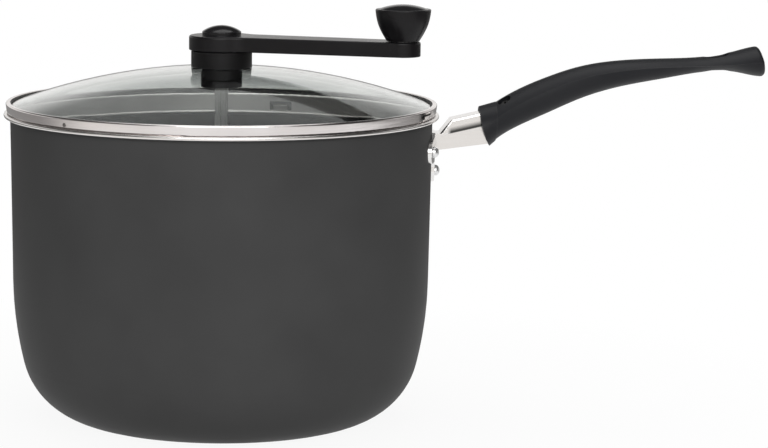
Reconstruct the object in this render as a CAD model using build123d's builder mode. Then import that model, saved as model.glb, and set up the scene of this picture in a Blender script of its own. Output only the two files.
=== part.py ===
from build123d import *
from math import cos, degrees, radians, sin, sqrt, tan
import os

# Stovetop popcorn popper: an aluminium pot with a long handle, a vented glass lid, and a hand
# crank on the lid that turns a stirrer just above the pot's floor. All sizes are millimetres.
# The origin is the centre of the pot's base. +Z is up and the handle points along +X.

os.makedirs("parts", exist_ok=True)

# ---------------------------------------------------------------------------------------------
# Driving sizes
# ---------------------------------------------------------------------------------------------

# Pot
rim_radius = 120.0  # outer edge of the flared rim
rim_overhang = 3.5  # from the wall's outside to the rim's edge
rim_thickness = 2.1
rim_edge_fillet = 0.9
pot_height = 171.0  # base to the top of the rim
pot_wall = 2.5
wall_draft = 0.76  # degrees that the upper wall leans outwards
belly_radius = 206.0  # gentle curve below the straight wall
corner_radius = 42.0  # soft corner at the base
corner_sweep = 76.2  # degrees that the soft corner turns through

# Handle bracket and its rivets
saddle_thickness = 1.8
rivet_spread = 23.0  # sideways from the centre line to an upper rivet
upper_rivet_drop = 19.0  # below the top of the rim, like the other drops
lower_rivet_drop = 31.8
rivet_radius = 2.0
rivet_head_radius = 3.0
rivet_head_height = 2.9
rivet_lobe = 6.3  # sheet around each rivet's centre
saddle_margin = 1.0  # the saddle's sheet is cut from a blank that is longer by this
saddle_rise = 1.5  # that the saddle stands above the top of the neck
saddle_shoulder = 3.0  # radius of its top corners
saddle_shoulder_drop = 4.0  # from its top edge to their centres
saddle_fillet = 4.0  # between the saddle's arms and its lower lobe
neck_width = 16.0
neck_sheet = 1.6
neck_base_drop = 20.0  # to the underside of the neck at the pot
neck_step_drop = 10.6  # to the top of the neck at the pot
neck_ledge = 3.2  # short shelf between the pot and the step
neck_rise_length = 6.2
neck_rise = 7.7
neck_top_slope = 13.0  # degrees
neck_bottom_slope = 7.5  # degrees
neck_rail_height = 7.4  # the neck's wide top rail, above its narrower web
neck_rail_step = 1.0  # that the web stands back from the rail on each side
neck_fillet = 1.1
neck_cover = 5.0  # that the neck's blank reaches into the grip
tang_thickness = 2.0
tang_width = 12.4
tang_length = 26.0
tang_overlap = 9.0  # that the tang reaches back between the neck's sides
tang_slope = 26.5  # degrees, the grip's slope at its front
tang_clearance = 0.15

# Handle grip
grip_standoff = 25.2  # from the rim's edge to the middle of the grip's front face
grip_front_drop = 7.0  # below the top of the rim
grip_length = 152.4
grip_rise = 36.0  # from the ridge at the front face to the ridge at the tip
grip_ridge_lift = 0.8  # from the middle of the tang to the grip's ridge
grip_width = 24.8
grip_face_radius = 40.0  # the front face bulges towards the pot
grip_face_lift = 10.0  # from there to where the front face is nearest to the pot
grip_face_lead = 2.9  # that it reaches ahead of the tang's start there
grip_end_tilt = 14.0  # degrees that the tip's end leans back
grip_end_fillet = 2.2
hang_slot_length = 15.0
hang_slot_width = 10.5
hang_slot_inset = 24.9  # from the tip to the slot's centre
handle_screw_radius = 2.0
handle_screw_head_radius = 3.8
handle_screw_head_height = 2.6
handle_screw_offset = 16.0  # along the tang from the grip's face
handle_screw_lean = 28.0  # degrees that the screw leans over to the grip's near shoulder
handle_screw_seat = 3.4  # plastic between the tang and the screw's head
handle_screw_reach = 4.0  # below the tang

# Lid band, seal and glass
band_sheet = 0.5
band_setback = 1.8  # from the rim's edge in to the band just above the rim
band_flare = 0.8  # the band's top is wider by this than its base
band_height = 6.0  # from the rim to the top of the lip
band_lip_width = 2.6
skirt_clearance = 0.8  # between the skirt and the pot's wall
skirt_depth = 11.0
skirt_bead_radius = 0.8
seal_lip = 0.8  # how far the seal shows inside the lip
seal_chamfer = 0.6  # clears the bend between the flange and the band
glass_edge_gap = 1.6  # between the edge of the glass and the band's outside
glass_thickness = 2.8
glass_seat = 0.6  # seal between the flange and the glass
dome_radius = 331.0
glass_hole_radius = 6.5
louver_length = 16.0
louver_height = 3.0
louver_angle = -21.0  # degrees from the handle's side
skirt_window_length = 13.5
skirt_window_height = 5.4
skirt_window_angle = 72.0
tab_share = 0.62  # of the window's length that its bent tab takes
tab_lean = 24.0  # degrees

# Boss, nut and bearing on the lid
boss_radius = 16.8
boss_height = 8.9  # above the crown of the glass
boss_gasket_thickness = 0.8
boss_gasket_radius = 14.0
stem_radius = 5.8
stem_length = 8.4  # below the crown of the glass
lid_nut_radius = 11.3
lid_nut_height = 8.2
lid_nut_web = 1.9
lid_nut_web_hole = 4.2
nut_gasket_thickness = 1.0
nut_gasket_radius = 10.8
bush_outer_radius = 4.5
thrust_washer_radius = 7.8
thrust_washer_thickness = 0.9
arm_gap = 0.3  # seam between the boss and the arm

# Shaft and stirrer
journal_radius = 3.0
running_clearance = 0.05
bar_width = 7.0
bar_thickness = 2.5
bar_bend_radius = 1.2
shaft_square = 4.2
stud_radius = 2.0
circlip_radius = 4.9
circlip_thickness = 0.8
circlip_groove_depth = 0.5
stirrer_setback = 46.0  # from the rim's edge in to the blade's end, clear of the soft corner
stirrer_width = 14.0
stirrer_sheet = 1.5
stirrer_floor_gap = 1.4
flap_height = 9.0
flap_start = 28.0  # from the axis
flap_end_gap = 8.0  # from the flap to the blade's end
foot_length = 17.0
foot_rivet_radius = 1.6
foot_rivet_head_radius = 2.8
foot_rivet_head_height = 0.9
foot_rivet_spacing = 7.0

# Crank arm, hub cap and fixings
arm_angle = -20.0  # degrees; where the crank stands at rest
arm_length = 104.0  # hub centre to knob centre
arm_thickness = 8.1
hub_radius = 18.0
arm_root_half_width = 12.5
arm_end_radius = 9.6
arm_root_offset = 8.0  # from the hub's centre to where the arm's sides start
arm_blend_radius = 14.0
arm_edge_fillet = 1.1
hub_pocket_radius = 8.8
hub_pocket_depth = 4.1
hub_washer_radius = 4.6
hub_washer_thickness = 0.8
nut_flats = 7.0
hub_nut_thickness = 2.5
hub_cap_radius = 10.75
hub_cap_side = 2.1
hub_cap_height = 5.5
hub_cap_plug_depth = 2.4
hub_cap_plug_wall = 1.3

# Knob and its pin
knob_base_radius = 8.9
knob_top_radius = 15.05
knob_height = 17.1
knob_bore_depth = 12.0  # from the knob's base to the floor of its recess
knob_recess_radius = 5.2
knob_cap_radius = 13.3
knob_cap_seat = 1.5
knob_cap_crown = 2.5
pin_shoulder_radius = 2.5
pin_head_radius = 4.4
pin_head_height = 2.3
knob_washer_radius = 6.5
knob_washer_thickness = 0.4
knob_nut_thickness = 2.6
knob_nut_recess_radius = 5.2
knob_nut_recess_depth = 3.2
fit_gap = 0.1  # between small pieces that don't turn on each other

# ---------------------------------------------------------------------------------------------
# Places worked out from the driving sizes
# ---------------------------------------------------------------------------------------------


def on_arc(centre, radius, angle):
    """Point on a circle in a vertical section, at an angle from straight down."""
    return (centre[0] + radius * sin(radians(angle)), centre[1] - radius * cos(radians(angle)))


def corner(sketch, x, y):
    """The vertex of a sketch that lies at (x, y) of its plane."""
    return sketch.vertices().sort_by_distance((x, y, 0))[0]


def dome_point(edge_radius, edge_height, rise, radius):
    """Point in a vertical section of a spherical dome that is level at its axis."""
    ball = (edge_radius**2 + rise**2) / (2 * rise)
    return (radius, edge_height + rise - ball + sqrt(ball**2 - radius**2))


def radial_plane(radius, angle, height):
    """Plane whose normal points straight out from the pot's axis, with its y axis up."""
    out = (cos(radians(angle)), sin(radians(angle)))
    return Plane(
        origin=(radius * out[0], radius * out[1], height),
        x_dir=(-out[1], out[0], 0),
        z_dir=(out[0], out[1], 0),
    )


def leaning_plane(radius, angle, height, lean):
    """Like radial_plane, with its y axis leaning inwards by lean degrees."""
    out = (cos(radians(angle)), sin(radians(angle)))
    level = cos(radians(lean))
    return Plane(
        origin=(radius * out[0], radius * out[1], height),
        x_dir=(-out[1], out[0], 0),
        z_dir=(out[0] * level, out[1] * level, sin(radians(lean))),
    )


# Pot wall
wall_angle = 90 - wall_draft
wall_top_radius = rim_radius - rim_overhang
belly_bottom = corner_radius * (1 - cos(radians(corner_sweep)))
belly_top = belly_bottom + belly_radius * (cos(radians(corner_sweep)) - cos(radians(wall_angle)))
belly_top_radius = wall_top_radius - (pot_height - belly_top) * tan(radians(wall_draft))
belly_centre = (
    belly_top_radius - belly_radius * sin(radians(wall_angle)),
    belly_top + belly_radius * cos(radians(wall_angle)),
)
corner_centre = on_arc(belly_centre, belly_radius - corner_radius, corner_sweep)


def wall_radius(height, inset=0.0):
    """Radius of the straight upper wall at a height, inset from its outside."""
    lean = tan(radians(wall_draft))
    return wall_top_radius - (pot_height - height) * lean - inset / cos(radians(wall_draft))


# Rivets: two above and one below, each square to the pot's axis
upper_rivet_height = pot_height - upper_rivet_drop
lower_rivet_height = pot_height - lower_rivet_drop
upper_rivet_angle = degrees(rivet_spread / wall_radius(upper_rivet_height))
rivet_places = [
    (upper_rivet_angle, upper_rivet_height),
    (-upper_rivet_angle, upper_rivet_height),
    (0.0, lower_rivet_height),
]
rivet_planes = [radial_plane(wall_radius(z), angle, z) for angle, z in rivet_places]

# Neck, tang and the screw through it
neck_base_height = pot_height - neck_base_drop
neck_step_height = pot_height - neck_step_drop
grip_start = rim_radius + grip_standoff
grip_front_height = pot_height - grip_front_drop
tang_plane = Plane(
    origin=(grip_start, 0, grip_front_height),
    x_dir=(cos(radians(tang_slope)), 0, sin(radians(tang_slope))),
    z_dir=(-sin(radians(tang_slope)), 0, cos(radians(tang_slope))),
)
handle_screw_plane = Plane(
    origin=tang_plane.from_local_coords((handle_screw_offset, 0, 0)),
    x_dir=tang_plane.x_dir,
    z_dir=tang_plane.z_dir * cos(radians(handle_screw_lean))
    - Vector(0, 1, 0) * sin(radians(handle_screw_lean)),
)
screw_seat = tang_thickness / 2 + tang_clearance + handle_screw_seat
grip_face_centre = (
    grip_start - grip_face_lead + grip_face_radius,
    grip_front_height + grip_face_lift,
)

grip_end_plane = Plane(
    origin=(grip_start + grip_length, 0, grip_front_height + grip_rise),
    x_dir=(0, 1, 0),
    z_dir=(cos(radians(grip_end_tilt)), 0, sin(radians(grip_end_tilt))),
)

# Lid
flange_top = pot_height + band_sheet
skirt_radius = wall_radius(pot_height, pot_wall) - skirt_clearance
skirt_bottom = pot_height - skirt_depth
lip_top = pot_height + band_height
band_base_radius = rim_radius - band_setback
band_top_radius = band_base_radius + band_flare
band_lip_radius = band_top_radius - band_lip_width
glass_radius = band_base_radius - glass_edge_gap
glass_edge_bottom = flange_top + glass_seat
inner_dome_radius = dome_radius - glass_thickness
crown = glass_edge_bottom + dome_radius - sqrt(inner_dome_radius**2 - glass_radius**2)


def dome_top(radius):
    """Height of the glass's outside at a radius."""
    return crown - dome_radius + sqrt(dome_radius**2 - radius**2)


def dome_bottom(radius):
    """Height of the glass's inside at a radius."""
    return crown - dome_radius + sqrt(inner_dome_radius**2 - radius**2)


louver_middle = flange_top + louver_height / 2 + 0.4
skirt_window_middle = skirt_bottom + skirt_bead_radius + skirt_window_height / 2 + 0.8
opposite = 180.0
louver_angles = [louver_angle, louver_angle + opposite]
skirt_window_angles = [skirt_window_angle, skirt_window_angle + opposite]

# Stack on the lid's axis
boss_top = crown + boss_height
boss_recess_top = crown + boss_gasket_thickness
washer_seat = boss_top + arm_gap - thrust_washer_thickness
stem_bottom = crown - stem_length
lid_nut_top = crown - glass_thickness - nut_gasket_thickness
lid_nut_bottom = lid_nut_top - lid_nut_height
circlip_top = stem_bottom - fit_gap
journal_bottom = lid_nut_bottom + lid_nut_web / 2
arm_bottom = boss_top + arm_gap
arm_top = arm_bottom + arm_thickness
hub_floor = arm_top - hub_pocket_depth
stud_top = hub_floor + hub_washer_thickness + hub_nut_thickness + 1.0

# Stirrer
stirrer_reach = rim_radius - stirrer_setback
flap_length = stirrer_reach - flap_start - flap_end_gap
blade_bottom = pot_wall + stirrer_floor_gap
blade_top = blade_bottom + stirrer_sheet
foot_top = blade_top + bar_thickness
foot_rivet_places = [foot_length - 4.0 - foot_rivet_spacing, foot_length - 4.0]

# Crank frame: x along the arm, turned to where the crank stands
arm_x = (cos(radians(arm_angle)), sin(radians(arm_angle)), 0)


def arm_plane(height, along=0.0):
    """Level plane at a height, centred a distance along the arm, with its x axis along the arm."""
    return Plane(origin=(along * arm_x[0], along * arm_x[1], height), x_dir=arm_x, z_dir=(0, 0, 1))


# Upright planes through the shaft's axis and through the knob's axis
arm_section = Plane(origin=(0, 0, 0), x_dir=arm_x, z_dir=(arm_x[1], -arm_x[0], 0))
bar_side = Plane(origin=(0, 0, 0), x_dir=(-arm_x[1], arm_x[0], 0), z_dir=arm_x)
knob_section = Plane(
    origin=(arm_length * arm_x[0], arm_length * arm_x[1], 0),
    x_dir=arm_x,
    z_dir=(arm_x[1], -arm_x[0], 0),
)
knob_axis = Axis(origin=knob_section.origin, direction=(0, 0, 1))
knob_bottom = arm_top + knob_washer_thickness
knob_top = knob_bottom + knob_height
pin_seat = knob_bottom + knob_bore_depth
pin_bottom = arm_bottom + 0.5


# ---------------------------------------------------------------------------------------------
# Pot
# ---------------------------------------------------------------------------------------------

# Pot body: one spun shell of even thickness, with the rim turned out over the wall
with BuildPart() as pot_body:
    with BuildSketch(Plane.XZ) as pot_section:
        with BuildLine():
            Line((0, 0), (corner_centre[0], 0))
            ThreePointArc(*[on_arc(corner_centre, corner_radius, a * corner_sweep) for a in (0, 0.5, 1)])
            belly_angles = [corner_sweep, (corner_sweep + wall_angle) / 2, wall_angle]
            ThreePointArc(*[on_arc(belly_centre, belly_radius, a) for a in belly_angles])
            rim_bottom = pot_height - rim_thickness
            Polyline(
                on_arc(belly_centre, belly_radius, wall_angle),
                (wall_radius(rim_bottom), rim_bottom),
                (rim_radius, rim_bottom),
                (rim_radius, pot_height),
                (wall_radius(pot_height, pot_wall), pot_height),
                on_arc(belly_centre, belly_radius - pot_wall, wall_angle),
            )
            inner_belly = belly_radius - pot_wall
            ThreePointArc(*[on_arc(belly_centre, inner_belly, a) for a in reversed(belly_angles)])
            inner_corner = corner_radius - pot_wall
            ThreePointArc(*[on_arc(corner_centre, inner_corner, a * corner_sweep) for a in (1, 0.5, 0)])
            Polyline((corner_centre[0], pot_wall), (0, pot_wall), (0, 0))
        make_face()
        rim_corners = [
            corner(pot_section, rim_radius, rim_bottom),
            corner(pot_section, rim_radius, pot_height),
            corner(pot_section, wall_radius(pot_height, pot_wall), pot_height),
        ]
        fillet(rim_corners, rim_edge_fillet)
        fillet(corner(pot_section, wall_radius(rim_bottom), rim_bottom), rim_edge_fillet)
    revolve(axis=Axis.Z)
    with BuildSketch(*rivet_planes):
        Circle(rivet_radius)
    extrude(amount=2 * pot_wall, both=True, mode=Mode.SUBTRACT)
pot_body.part.label = "pot_body"
export_step(pot_body.part, "parts/pot_body.step")

# Neck rail: the rounded top of the bracket's neck, stepping up from the pot to the grip
neck_start = wall_radius(neck_step_height) + saddle_thickness / 2
neck_end = grip_start + neck_cover
step_start = neck_start + neck_ledge
step_end = (step_start + neck_rise_length, neck_step_height + neck_rise)
neck_end_top = step_end[1] + (neck_end - step_end[0]) * tan(radians(neck_top_slope))
neck_end_bottom = neck_base_height + (neck_end - neck_start) * tan(radians(neck_bottom_slope))
rail_start = neck_step_height - neck_rail_height / 2
web_half_width = neck_width / 2 - neck_rail_step
with BuildPart() as neck_rail:
    with BuildSketch(Plane.XZ):
        with BuildLine():
            Polyline(
                (neck_start, rail_start),
                (neck_start, neck_step_height),
                (step_start, neck_step_height),
                step_end,
                (neck_end, neck_end_top),
                (neck_end, neck_end_top - neck_rail_height),
                (step_end[0], step_end[1] - neck_rail_height),
                (step_start, rail_start + neck_rail_height / 4),
                close=True,
            )
        make_face()
    extrude(amount=neck_width / 2, both=True)
    rail_sides = neck_rail.faces().sort_by(Axis.Y)
    rail_edges = rail_sides[0].edges() + rail_sides[-1].edges()
    fillet(rail_edges.filter_by_position(Axis.X, step_start, neck_end, (False, False)), neck_fillet)

# Handle bracket: a pressed saddle that fits the wall, a hollow neck and a tang for the grip
with BuildPart() as handle_bracket:
    saddle_bottom = lower_rivet_height - rivet_lobe - saddle_margin
    saddle_top = neck_step_height + saddle_rise
    with BuildSketch(Plane.XZ):
        with BuildLine():
            Polyline(
                (wall_radius(saddle_bottom), saddle_bottom),
                (wall_radius(saddle_bottom) + saddle_thickness, saddle_bottom),
                (wall_radius(saddle_top) + saddle_thickness, saddle_top),
                (wall_radius(saddle_top), saddle_top),
                close=True,
            )
        make_face()
    revolve(axis=Axis.Z)
    with BuildSketch(Plane.YZ) as saddle_outline:
        with Locations((rivet_spread, upper_rivet_height), (-rivet_spread, upper_rivet_height)):
            Circle(rivet_lobe)
        shoulder_height = saddle_top - saddle_shoulder_drop
        with Locations((neck_width / 2, shoulder_height), (-neck_width / 2, shoulder_height)):
            Circle(saddle_shoulder)
        make_hull()
        with Locations((0, lower_rivet_height)):
            Circle(rivet_lobe)
            Rectangle(
                2 * rivet_lobe,
                upper_rivet_height - lower_rivet_height,
                align=(Align.CENTER, Align.MIN),
            )
        arm_bottom_edge = upper_rivet_height - rivet_lobe
        saddle_corners = [corner(saddle_outline, y, arm_bottom_edge) for y in (-rivet_lobe, rivet_lobe)]
        fillet(saddle_corners, saddle_fillet)
    extrude(amount=2 * rim_radius, mode=Mode.INTERSECT)

    # Neck: an upside-down channel that steps up from the saddle and runs to the grip. Its top
    # is the rail, and the web below is a little narrower.
    add(neck_rail.part)
    with BuildSketch(Plane.XZ):
        with BuildLine():
            Polyline(
                (neck_start, neck_base_height),
                (neck_start, neck_step_height - neck_sheet),
                (step_start, neck_step_height - neck_sheet),
                (step_end[0], step_end[1] - neck_sheet),
                (neck_end, neck_end_top - neck_sheet),
                (neck_end, neck_end_bottom),
                close=True,
            )
        make_face()
    extrude(amount=web_half_width, both=True)
    with BuildSketch(Plane.XZ):
        with BuildLine():
            hollow_start = neck_start + saddle_thickness
            Polyline(
                (hollow_start, neck_base_height - 5),
                (hollow_start, neck_step_height - neck_sheet - 1),
                (step_end[0] + 1.2, step_end[1] - neck_sheet - 0.9),
                (neck_end, neck_end_top - neck_sheet),
                (neck_end, neck_base_height - 5),
                close=True,
            )
        make_face()
    extrude(amount=web_half_width - neck_sheet, both=True, mode=Mode.SUBTRACT)
    with BuildSketch(Plane.XZ):
        with Locations(grip_face_centre):
            Circle(grip_face_radius + fit_gap)
    extrude(amount=neck_width, both=True, mode=Mode.SUBTRACT)

    # Tang: a flat bar between the neck's sides that runs on into the grip
    with BuildSketch(tang_plane):
        with Locations((-tang_overlap, 0)):
            Rectangle(tang_length + tang_overlap, tang_width, align=(Align.MIN, Align.CENTER))
    extrude(amount=tang_thickness / 2, both=True)
    with BuildSketch(handle_screw_plane):
        Circle(handle_screw_radius)
    extrude(amount=2 * tang_thickness, both=True, mode=Mode.SUBTRACT)
    with BuildSketch(*rivet_planes):
        Circle(rivet_radius)
    extrude(amount=2 * saddle_thickness, both=True, mode=Mode.SUBTRACT)
handle_bracket.part.label = "handle_bracket"
export_step(handle_bracket.part, "parts/handle_bracket.step")

# Bracket rivets: a domed head outside, a flatter head inside the pot
with BuildPart() as bracket_rivets:
    head_seat = saddle_thickness + fit_gap
    inner_seat = pot_wall + fit_gap
    for plane in rivet_planes:
        with BuildSketch(plane.offset(-inner_seat)):
            Circle(rivet_radius)
        extrude(amount=inner_seat + head_seat)
        with BuildSketch(plane.offset(head_seat)):
            Circle(rivet_head_radius)
        extrude(amount=rivet_head_height)
        head_top = plane.offset(head_seat + rivet_head_height).origin
        fillet(bracket_rivets.faces().sort_by_distance(head_top)[0].edges(), rivet_head_height * 0.8)
        with BuildSketch(plane.offset(-inner_seat)):
            Circle(rivet_head_radius - 0.6)
        extrude(amount=-rivet_head_height / 2)
bracket_rivets.part.label = "bracket_rivets"
export_step(bracket_rivets.part, "parts/bracket_rivets.step")

# Handle grip. Each station is: share of the length, share of the rise, crown above the ridge,
# depth below the ridge, share of the width. The ridge runs along both sides of the grip. The
# collar is a slightly raised band round its front.
grip_stations = [
    (-0.05, -0.13, 12.6, 16.4, 1.0),
    (0.04, 0.13, 7.6, 13.2, 1.0),
    (0.112, 0.32, 7.3, 13.0, 0.97),
    (0.229, 0.56, 6.5, 13.4, 0.94),
    (0.345, 0.74, 5.8, 12.0, 0.91),
    (0.488, 0.86, 4.9, 9.6, 0.87),
    (0.65, 0.915, 4.1, 6.8, 0.83),
    (0.792, 0.935, 4.5, 3.8, 0.84),
    (0.9, 0.965, 6.4, 4.8, 0.96),
    (1.02, 1.0, 7.9, 8.4, 1.07),
]
collar_stations = [
    (-0.05, -0.13, 13.4, 16.8, 1.03),
    (0.041, 0.13, 8.0, 13.6, 1.03),
]
with BuildPart() as handle_grip:
    for along, rise, crown_height, depth, width in grip_stations:
        half = width * grip_width / 2
        ridge = grip_front_height + grip_ridge_lift + rise * grip_rise
        with BuildSketch(Plane.YZ.offset(grip_start + along * grip_length)):
            with BuildLine():
                ThreePointArc((-half, ridge), (0, ridge + crown_height), (half, ridge))
                ThreePointArc((half, ridge), (0, ridge - depth), (-half, ridge))
            make_face()
    loft()
    for along, rise, crown_height, depth, width in collar_stations:
        half = width * grip_width / 2
        ridge = grip_front_height + grip_ridge_lift + rise * grip_rise
        with BuildSketch(Plane.YZ.offset(grip_start + along * grip_length)):
            with BuildLine():
                ThreePointArc((-half, ridge), (0, ridge + crown_height), (half, ridge))
                ThreePointArc((half, ridge), (0, ridge - depth), (-half, ridge))
            make_face()
    loft(ruled=True)
    split(bisect_by=grip_end_plane, keep=Keep.BOTTOM)
    fillet(handle_grip.faces().sort_by(Axis.X)[-1].edges(), grip_end_fillet)
    with BuildSketch(Plane.XZ):
        with Locations(grip_face_centre):
            Rectangle(
                2 * grip_face_radius,
                2 * grip_face_radius,
                align=(Align.MAX, Align.CENTER),
            )
            Circle(grip_face_radius, mode=Mode.SUBTRACT)
    extrude(amount=grip_width, both=True, mode=Mode.SUBTRACT)
    with BuildSketch(Plane.XY.offset(grip_front_height)):
        with Locations((grip_start + grip_length - hang_slot_inset, 0)):
            SlotOverall(hang_slot_length, hang_slot_width)
    extrude(amount=2 * grip_rise, mode=Mode.SUBTRACT)
    with BuildSketch(tang_plane):
        with Locations((-tang_overlap, 0)):
            Rectangle(
                tang_length + tang_overlap + 1,
                tang_width + 2 * tang_clearance,
                align=(Align.MIN, Align.CENTER),
            )
    extrude(amount=tang_thickness / 2 + tang_clearance, both=True, mode=Mode.SUBTRACT)
    with BuildSketch(handle_screw_plane):
        Circle(handle_screw_radius + fit_gap)
    extrude(amount=handle_screw_reach + 1, both=True, mode=Mode.SUBTRACT)
    with BuildSketch(handle_screw_plane.offset(screw_seat)):
        Circle(handle_screw_head_radius + 2 * fit_gap)
    extrude(amount=grip_rise, mode=Mode.SUBTRACT)
handle_grip.part.label = "handle_grip"
export_step(handle_grip.part, "parts/handle_grip.step")

# Handle screw: a pan head screw into the tang, with a cross slot
with BuildPart() as handle_screw:
    with BuildSketch(handle_screw_plane.offset(-handle_screw_reach)):
        Circle(handle_screw_radius)
    extrude(amount=handle_screw_reach + screw_seat)
    with BuildSketch(handle_screw_plane.offset(screw_seat)):
        Circle(handle_screw_head_radius)
    extrude(amount=handle_screw_head_height)
    screw_head_top = handle_screw_plane.offset(screw_seat + handle_screw_head_height)
    head_face = handle_screw.faces().sort_by_distance(screw_head_top.origin)[0]
    fillet(head_face.edges(), handle_screw_head_height / 3)
    with BuildSketch(screw_head_top):
        Rectangle(handle_screw_head_radius * 1.1, 0.9)
        Rectangle(0.9, handle_screw_head_radius * 1.1)
    extrude(amount=-handle_screw_head_height / 2, mode=Mode.SUBTRACT)
handle_screw.part.label = "handle_screw"
export_step(handle_screw.part, "parts/handle_screw.step")

# ---------------------------------------------------------------------------------------------
# Lid
# ---------------------------------------------------------------------------------------------

# Lid glass: a tempered cap of a sphere with a ground edge and a centre hole
with BuildPart() as lid_glass:
    with BuildSketch(Plane.XZ) as glass_section:
        with BuildLine():
            span = [glass_hole_radius, (glass_hole_radius + glass_radius) / 2, glass_radius]
            ThreePointArc(*[(r, dome_top(r)) for r in span])
            Line((glass_radius, dome_top(glass_radius)), (glass_radius, dome_bottom(glass_radius)))
            ThreePointArc(*[(r, dome_bottom(r)) for r in reversed(span)])
            Line(
                (glass_hole_radius, dome_bottom(glass_hole_radius)),
                (glass_hole_radius, dome_top(glass_hole_radius)),
            )
        make_face()
        glass_edge = [
            corner(glass_section, glass_radius, dome_top(glass_radius)),
            corner(glass_section, glass_radius, dome_bottom(glass_radius)),
        ]
        fillet(glass_edge, glass_thickness / 4)
    revolve(axis=Axis.Z)
lid_glass.part.label = "lid_glass"
export_step(lid_glass.part, "parts/lid_glass.step")

# Lid band: one rolled strip, from the lip over the glass down to the beaded skirt in the pot
with BuildPart() as lid_band:
    half_sheet = band_sheet / 2
    with BuildSketch(Plane.XZ):
        with BuildLine():
            FilletPolyline(
                (skirt_radius - half_sheet, skirt_bottom),
                (skirt_radius - half_sheet, pot_height + half_sheet),
                (band_base_radius - half_sheet, pot_height + half_sheet),
                (band_top_radius - half_sheet, lip_top - half_sheet),
                (band_lip_radius, lip_top - half_sheet - 0.2),
                radius=0.7,
            )
        trace(line_width=band_sheet)
        with Locations((skirt_radius - skirt_bead_radius, skirt_bottom)):
            Circle(skirt_bead_radius)
    revolve(axis=Axis.Z)
    louver_radius = (band_base_radius + band_top_radius) / 2 - half_sheet
    with BuildSketch(*[radial_plane(louver_radius, a, louver_middle) for a in louver_angles]):
        RectangleRounded(louver_length, louver_height, 0.5)
    extrude(amount=2.5, both=True, mode=Mode.SUBTRACT)
    window_radius = skirt_radius - half_sheet
    with BuildSketch(*[radial_plane(window_radius, a, skirt_window_middle) for a in skirt_window_angles]):
        RectangleRounded(skirt_window_length, skirt_window_height, 0.6)
    extrude(amount=2.5, both=True, mode=Mode.SUBTRACT)

    # Bent tabs: those of the louvers lean out, and those of the skirt's windows lean in
    for angle in louver_angles:
        foot = louver_middle - louver_height / 2 - 0.3
        with BuildSketch(leaning_plane(louver_radius, angle, foot, -tab_lean)):
            Rectangle(louver_length * tab_share, louver_height * 0.85, align=(Align.CENTER, Align.MIN))
        extrude(amount=half_sheet, both=True)
    for angle in skirt_window_angles:
        foot = skirt_window_middle - skirt_window_height / 2 - 0.3
        with BuildSketch(leaning_plane(window_radius, angle, foot, tab_lean)):
            Rectangle(
                skirt_window_length * tab_share,
                skirt_window_height * 0.7,
                align=(Align.CENTER, Align.MIN),
            )
        extrude(amount=half_sheet, both=True)
lid_band.part.label = "lid_band"
export_step(lid_band.part, "parts/lid_band.step")

# Lid seal: bedding ring round the glass edge, notched where the louvers let the steam out
with BuildPart() as lid_seal:
    with BuildSketch(Plane.XZ):
        with BuildLine():
            seal_inner = band_lip_radius - seal_lip
            seal_outer = band_base_radius - band_sheet - fit_gap
            seal_top = lip_top - band_sheet - 0.25
            Polyline(
                (seal_inner, flange_top),
                (seal_outer - seal_chamfer, flange_top),
                (seal_outer, flange_top + seal_chamfer),
                (seal_outer, seal_top),
                (seal_inner, seal_top - 0.15),
                close=True,
            )
        make_face()
    revolve(axis=Axis.Z)
    add(lid_glass.part, mode=Mode.SUBTRACT)
    with BuildSketch(*[radial_plane(glass_radius, a, flange_top) for a in louver_angles]):
        Rectangle(louver_length, 2 * glass_seat)
    extrude(amount=3, both=True, mode=Mode.SUBTRACT)
    with BuildSketch(*[radial_plane(glass_radius + fit_gap, a, louver_middle) for a in louver_angles]):
        Rectangle(louver_length, louver_height + 1)
    extrude(amount=3, mode=Mode.SUBTRACT)
lid_seal.part.label = "lid_seal"
export_step(lid_seal.part, "parts/lid_seal.step")

# Lid boss: the black collar under the arm, with a hollow stem through the glass
with BuildPart() as lid_boss:
    with BuildSketch(Plane.XZ):
        with BuildLine():
            boss_base = dome_top(boss_gasket_radius) + fit_gap
            Polyline(
                (bush_outer_radius, stem_bottom),
                (stem_radius, stem_bottom),
                (stem_radius, boss_recess_top),
                (boss_gasket_radius, boss_recess_top),
                (boss_gasket_radius, boss_base),
                (boss_radius, boss_base),
                (boss_radius, boss_top),
                (thrust_washer_radius + fit_gap, boss_top),
                (thrust_washer_radius + fit_gap, washer_seat),
                (bush_outer_radius, washer_seat),
                close=True,
            )
        make_face()
    revolve(axis=Axis.Z)
    boss_rim = lid_boss.edges().filter_by(GeomType.CIRCLE).group_by(SortBy.RADIUS)[-1]
    chamfer(boss_rim.sort_by(Axis.Z)[-1], 0.5)
lid_boss.part.label = "lid_boss"
export_step(lid_boss.part, "parts/lid_boss.step")

# Boss gasket: soft ring that the boss presses on the glass
with BuildPart() as boss_gasket:
    with BuildSketch(Plane.XY.offset(boss_recess_top)):
        Circle(boss_gasket_radius - fit_gap)
        Circle(glass_hole_radius + fit_gap, mode=Mode.SUBTRACT)
    extrude(amount=-boss_gasket_thickness - glass_thickness / 2)
    add(lid_glass.part, mode=Mode.SUBTRACT)
boss_gasket.part.label = "boss_gasket"
export_step(boss_gasket.part, "parts/boss_gasket.step")

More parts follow.
